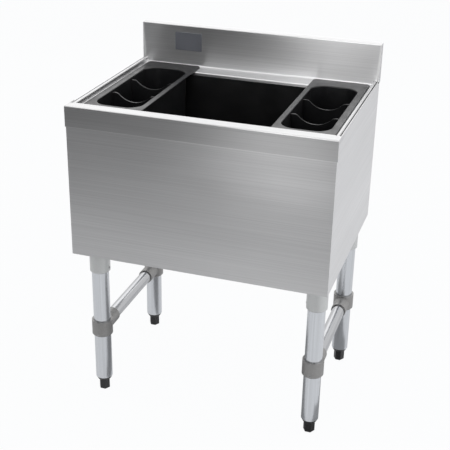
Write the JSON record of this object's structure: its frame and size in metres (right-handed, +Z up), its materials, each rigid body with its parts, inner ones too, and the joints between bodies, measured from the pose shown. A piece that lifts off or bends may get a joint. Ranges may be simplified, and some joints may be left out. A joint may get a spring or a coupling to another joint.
{
  "type": "underbar ice bin",
  "caption": "Insulated stainless underbar ice bin with backsplash, lift-out bottle racks over the ice well, drain and legs with screw feet.",
  "frame": {"origin": "on the floor under the middle of the bin's outer size", "axes": "+Z up; +Y from the working front to the backsplash; +X to the right as seen from the front"},
  "size_m": [0.6096, 0.4666, 0.8541],
  "materials": {
    "deck_steel": "satin stainless sheet, grain along the front",
    "panel_steel": "satin stainless sheet, horizontal grain",
    "liner_plastic": "smooth dark moulding",
    "channel_steel": "mill-finish folded sheet",
    "insulation": "cut face of rigid foam",
    "rack_plastic": "fine-grained dark moulding",
    "leg_steel": "satin tube",
    "rail_steel": "bright polished tube",
    "socket_metal": "smooth die casting",
    "collar_metal": "fine cast surface",
    "fastener_steel": "plain turned steel",
    "insert_plastic": "moulded, satin",
    "foot_plastic": "moulded, satin",
    "drain_metal": "plated, bright",
    "drain_brass": "turned, plain",
    "drain_rubber": "smooth",
    "strainer_steel": "punched and polished"
  },
  "bodies": {
    "bin": {"top_deck": "deck_steel", "front_panel": "panel_steel", "rear_panel": "panel_steel", "left_side_panel": "panel_steel", "right_side_panel": "panel_steel", "bottom_panel": "panel_steel", "ice_liner": "liner_plastic", "left_leg_channel": "channel_steel", "right_leg_channel": "channel_steel", "foam_insulation": "insulation", "front_left_leg_tube": "leg_steel", "front_right_leg_tube": "leg_steel", "rear_left_leg_tube": "leg_steel", "rear_right_leg_tube": "leg_steel", "left_crossrail": "rail_steel", "right_crossrail": "rail_steel", "front_left_leg_socket": "socket_metal", "front_right_leg_socket": "socket_metal", "rear_left_leg_socket": "socket_metal", "rear_right_leg_socket": "socket_metal", "front_left_rail_collar": "collar_metal", "front_right_rail_collar": "collar_metal", "rear_left_rail_collar": "collar_metal", "rear_right_rail_collar": "collar_metal", "leg_bolts": "fastener_steel", "leg_nuts": "fastener_steel", "set_screws": "fastener_steel", "front_left_foot_insert": "insert_plastic", "front_right_foot_insert": "insert_plastic", "rear_left_foot_insert": "insert_plastic", "rear_right_foot_insert": "insert_plastic", "drain_body": "drain_metal", "drain_tail_pipe": "drain_metal", "drain_lock_nut": "drain_brass", "drain_gasket": "drain_rubber"},
    "foot_front_left": {"front_left_foot": "foot_plastic"},
    "foot_front_right": {"front_right_foot": "foot_plastic"},
    "foot_rear_left": {"rear_left_foot": "foot_plastic"},
    "foot_rear_right": {"rear_right_foot": "foot_plastic"},
    "rack_left": {"left_bottle_rack": "rack_plastic"},
    "rack_right": {"right_bottle_rack": "rack_plastic"},
    "strainer": {"drain_strainer": "strainer_steel"}
  },
  "joints": [
    {"name": "foot_front_left_adjust", "type": "slide", "parent": "bin", "child": "foot_front_left", "axis": [0, 0, -1], "range_m": [0, 0.0254]},
    {"name": "foot_front_right_adjust", "type": "slide", "parent": "bin", "child": "foot_front_right", "axis": [0, 0, -1], "range_m": [0, 0.0254]},
    {"name": "foot_rear_left_adjust", "type": "slide", "parent": "bin", "child": "foot_rear_left", "axis": [0, 0, -1], "range_m": [0, 0.0254]},
    {"name": "foot_rear_right_adjust", "type": "slide", "parent": "bin", "child": "foot_rear_right", "axis": [0, 0, -1], "range_m": [0, 0.0254]},
    {"name": "rack_left_lift", "type": "slide", "parent": "bin", "child": "rack_left", "axis": [0, 0, 1], "range_m": [0, 0.225]},
    {"name": "rack_right_lift", "type": "slide", "parent": "bin", "child": "rack_right", "axis": [0, 0, 1], "range_m": [0, 0.225]},
    {"name": "strainer_lift", "type": "slide", "parent": "bin", "child": "strainer", "axis": [0, 0, 1], "range_m": [0, 0.32]}
  ]
}
